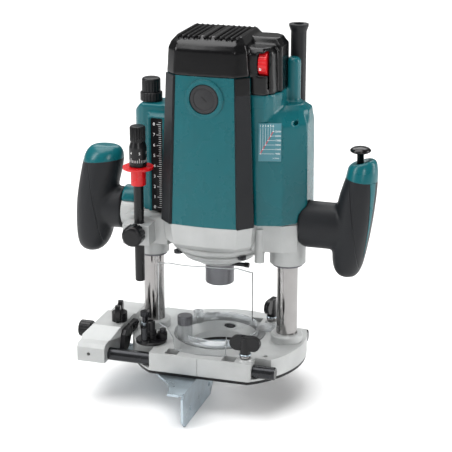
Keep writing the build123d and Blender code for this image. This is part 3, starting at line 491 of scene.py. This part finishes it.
# corner strips: rubber below, gloss at the top right where the cover comes down
glossFrom = Vector((0, 0, 265.0 * mm))
middle = Vector((0, 0, 0))
leftStrip = carriedShape("corner_strips")
rightGloss = leftStrip.copy()
rightRubber = leftStrip.copy()
cutAway(rightGloss, glossFrom, Vector((0, 0, -1)))
cutAway(rightGloss, middle, Vector((-1, 0, 0)))
cutAway(rightRubber, middle, Vector((-1, 0, 0)))
cutAway(rightRubber, glossFrom, Vector((0, 0, 1)))
cutAway(leftStrip, middle, Vector((1, 0, 0)))
makePiece("strip_left", leftStrip, "motor", "dark_rubber", None, ["corner_strips"])
makePiece("strip_right", rightRubber, "motor", "dark_rubber", None, ["corner_strips"])
makePiece("strip_right_gloss", rightGloss, "motor", "black_gloss")
print("corner strips made")


# nodes whose finish differs from their slot
ownFinishes = {"stop_bolts": finishes["dark_steel"], "turret_screw": finishes["black_plastic"],
               "chip_collar": collarClear, "bracket_screws": finishes["dark_steel"],
               "post_scrapers": finishes["tool_steel"]}
for node, finish in ownFinishes.items():
    frame["nodes"][node].material_slots[0].material = finish


# bluish lock nut on the tall stop
nutPlan = dict(high=3.2, radius=4.35, low=34.3, angle=138, pitch=11.3, edge=0.3)
nut = bmesh.new()
bmesh.ops.create_cone(nut, cap_ends=True, segments=6, radius1=nutPlan["radius"] * mm,
                      radius2=nutPlan["radius"] * mm, depth=nutPlan["high"] * mm)
bmesh.ops.bevel(nut, geom=nut.edges[:], offset=nutPlan["edge"] * mm, offset_type="OFFSET", affect="EDGES",
                segments=2, profile=0.5, material=-1)
turretLow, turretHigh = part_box("turret_screw")
turretMiddle = (Vector(turretLow) + Vector(turretHigh)) / 2
nutPlace = Vector((turretMiddle.x, turretMiddle.y, (nutPlan["low"] + nutPlan["high"] / 2) * mm))
nutPlace += Matrix.Rotation(math.radians(nutPlan["angle"]), 3, "Z") @ Vector((nutPlan["pitch"] * mm, 0, 0))
bmesh.ops.translate(nut, verts=nut.verts, vec=nutPlace)
makePiece("stop_nut", nut, "turret", "zinc_steel")


# washers and springs under the clamp bolts
clampPlan = dict(front=(43, -60), rear=(41.4, 38), coils=3, coilSteps=20, coilRadius=4.3, wire=0.75, low=23.4,
                 washerLow=26.6)
washerProfile = ((3.1, 0), (5.4, 0), (5.8, 0.5), (5.4, 1.3), (3.1, 1.3))
for label in ("front", "rear"):
    x, y = clampPlan[label]
    washer = lathed(washerProfile, 32)
    bmesh.ops.translate(washer, verts=washer.verts, vec=(x * mm, y * mm, clampPlan["washerLow"] * mm))
    makePiece(label + "_clamp_washer", washer, label + "_clamp", "zinc_steel")
    coil = bmesh.new()
    tip = bmesh.ops.create_circle(coil, segments=8, radius=clampPlan["wire"] * mm, cap_ends=True)["verts"]
    bmesh.ops.rotate(coil, verts=tip, cent=(0, 0, 0), matrix=Matrix.Rotation(math.pi / 2, 3, "X"))
    bmesh.ops.translate(coil, verts=tip, vec=(clampPlan["coilRadius"] * mm, 0, 0))
    rise = (clampPlan["washerLow"] - clampPlan["low"] - 2 * clampPlan["wire"]) * mm
    steps = clampPlan["coilSteps"] * clampPlan["coils"]
    bmesh.ops.spin(coil, geom=coil.verts[:] + coil.edges[:] + coil.faces[:], cent=(0, 0, 0), axis=(0, 0, 1),
                   dvec=(0, 0, rise / steps), angle=math.tau * clampPlan["coils"], steps=steps,
                   use_merge=False)
    bmesh.ops.recalc_face_normals(coil, faces=coil.faces)
    foot = (clampPlan["low"] + clampPlan["wire"]) * mm
    bmesh.ops.translate(coil, verts=coil.verts, vec=(x * mm, y * mm, foot))
    makePiece(label + "_clamp_spring", coil, label + "_clamp", "bright_steel")
print("nut, washers and springs made")


# lower bowl: beads and steps turned about the spindle
bowlPlan = dict(bead=((40, 112.2), (43.9, 112.2), (44.7, 113.2), (44.7, 116.2), (43.9, 117.4), (40, 117.4)),
                step=((30, 105.2), (36.6, 105.2), (37.5, 106.0), (37.9, 107.6), (37.4, 108.6), (30, 108.6)))
for label, profile in bowlPlan.items():
    makePiece("bowl_" + label, lathed(profile, 96), "motor", "cast_silver")
print("bowl made")


# opaque grey on the clear guard's edge faces: painted shade drawing the outline that light bending through
# the clear edges gives
rimPlan = dict(centreY=18.3, thick=0.3, facing=0.7)
rim = carriedShape("chip_guard")
broad = []
for face in rim.faces:
    out = face.calc_center_median() - Vector((0, rimPlan["centreY"] * mm, 0))
    out.z = 0
    if abs(face.normal.dot(out.normalized())) > rimPlan["facing"]:
        broad.append(face)
bmesh.ops.delete(rim, geom=broad, context="FACES")
bmesh.ops.solidify(rim, geom=rim.faces[:], thickness=rimPlan["thick"] * mm)
makePiece("guard_rim", rim, "base", "clear_plastic", paintedOutlineGrey)
print("guard rim made")


# pole knob: printed ring and ribbed top
knobPlan = dict(ticks=30, tickLow=196.5, tick=2.4, longTick=4.2, line=0.16, figuresAt=205.2,
                figureSize=3.6, ribs=22, ribLow=216, ribHigh=229, ribAt=6.7, ribHalf=0.45)
knobLow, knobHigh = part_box("pole_knob")
knobX, knobY = (knobLow[0] + knobHigh[0]) / 2, (knobLow[1] + knobHigh[1]) / 2
knobRadius = (knobHigh[0] - knobLow[0]) / 2 / mm


def roundKnob(count, total):
    # the knob's axis, turned by one share of the circle for each count
    return Matrix.Translation((knobX, knobY, 0)) @ Matrix.Rotation(math.tau * count / total, 4, "Z")


outward = Matrix.Rotation(math.pi / 2, 4, "Z") @ Matrix.Rotation(math.pi / 2, 4, "X")
ringInk = bmesh.new()
for count in range(knobPlan["ticks"]):
    around = roundKnob(count, knobPlan["ticks"])
    long = count % 5 == 0
    tickTop = knobPlan["tickLow"] + knobPlan["longTick" if long else "tick"]
    addBox(ringInk, (knobRadius - 0.1, -knobPlan["line"], knobPlan["tickLow"]),
           (knobRadius + 0.06, knobPlan["line"], tickTop), 0, around)
    if long:
        figurePlace = Matrix.Translation(((knobRadius + 0.03) * mm, 0, knobPlan["figuresAt"] * mm))
        addText(ringInk, str(count // 5), knobPlan["figureSize"], around @ figurePlace @ outward)
makePiece("pole_knob_print", ringInk, "pole_knob", "black_plastic", whiteInk)
knobRibs = bmesh.new()
for count in range(knobPlan["ribs"]):
    addBox(knobRibs, (knobPlan["ribAt"] - 0.8, -knobPlan["ribHalf"], knobPlan["ribLow"]),
           (knobPlan["ribAt"] + 0.55, knobPlan["ribHalf"], knobPlan["ribHigh"]), 0.3,
           roundKnob(count, knobPlan["ribs"]))
makePiece("pole_knob_ribs", knobRibs, "pole_knob", "black_plastic")
print("pole knob made")


# dial figure
dialPlan = dict(figure="6", size=5.0, height=288.3, aside=0.4, sunk=0.05, thick=0.12)
dialLow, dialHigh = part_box("speed_dial")
dialX = (dialLow[0] + dialHigh[0]) / 2 / mm + dialPlan["aside"]
dialFront = dialLow[1] / mm + dialPlan["sunk"]
figurePlace = leaningPlane((dialX, dialFront, dialPlan["height"]), (1, 0, 0), (0, 0.25, 1))
figure = bmesh.new()
addText(figure, dialPlan["figure"], dialPlan["size"], figurePlace, dialPlan["thick"])
makePiece("dial_figure", figure, "dial", "red_plastic", whiteInk)
print("dial figure made")


# stage: pale floor, soft boxes and camera
stagePlan = dict(floorSize=12, turn=17.13, tilt=18.24, distance=1.4154, aim=(0.0061, 0, 0.1287), lens=119.7,
                 floorGap=0.0002, worldLight=0.2, sensor=36)
floorShape = bmesh.new()
bmesh.ops.create_grid(floorShape, x_segments=1, y_segments=1, size=stagePlan["floorSize"] / 2)
bmesh.ops.translate(floorShape, verts=floorShape.verts, vec=(0, 0, cadBounds[0][2] - stagePlan["floorGap"]))
floorData = bpy.data.meshes.new("floor")
floorShape.to_mesh(floorData)
floorShape.free()
paper = surfaceFinish("paper", dict(colour=(0.9, 0.9, 0.9), rough=0.65, spread=0.01, grain=0.02))
floorData.materials.append(paper)
floor = bpy.data.objects.new("floor", floorData)
bpy.context.scene.collection.objects.link(floor)

world = bpy.data.worlds.new("studio")
world.use_nodes = True
sky = world.node_tree.nodes["Background"]
sky.inputs["Color"].default_value = (1, 1, 1, 1)
sky.inputs["Strength"].default_value = stagePlan["worldLight"]
bpy.context.scene.world = world
bpy.context.scene.view_settings.view_transform = "Standard"

softBoxes = {
    "overhead": dict(place=(-0.5, -0.2, 2.4), aim=(0, 0, 0), width=2.1, height=2.2, power=68),
    "backdrop": dict(place=(-0.9, 2.6, 2.6), aim=(-0.9, 2.6, 0), width=3.4, height=2.6, power=95),
    "front_left": dict(place=(-1.5, -1.2, 1.1), aim=(0, 0, 0.15), width=0.45, height=1.3, power=19),
    "right_side": dict(place=(1.7, 0.45, 0.7), aim=(0.05, 0, 0.15), width=0.5, height=1.5, power=20),
    "front_right": dict(place=(0.9, -1.9, 0.9), aim=(0, 0, 0.12), width=0.4, height=0.9, power=11),
}
for title, box in softBoxes.items():
    lamp = bpy.data.lights.new(title, "AREA")
    lamp.shape = "RECTANGLE"
    lamp.size = box["width"]
    lamp.size_y = box["height"]
    lamp.energy = box["power"]
    stand = bpy.data.objects.new(title, lamp)
    stand.location = box["place"]
    stand.rotation_euler = (Vector(box["aim"]) - Vector(box["place"])).to_track_quat("-Z", "Y").to_euler()
    bpy.context.scene.collection.objects.link(stand)

turn, tilt = math.radians(stagePlan["turn"]), math.radians(stagePlan["tilt"])
ahead = Vector((-math.sin(turn) * math.cos(tilt), math.cos(turn) * math.cos(tilt), -math.sin(tilt)))
lensBody = bpy.data.cameras.new("camera")
lensBody.sensor_width = stagePlan["sensor"]
lensBody.lens = stagePlan["lens"]
camera = bpy.data.objects.new("camera", lensBody)
camera.location = Vector(stagePlan["aim"]) - ahead * stagePlan["distance"]
camera.rotation_euler = ahead.to_track_quat("-Z", "Y").to_euler()
bpy.context.scene.collection.objects.link(camera)
bpy.context.scene.camera = camera
print("stage set")
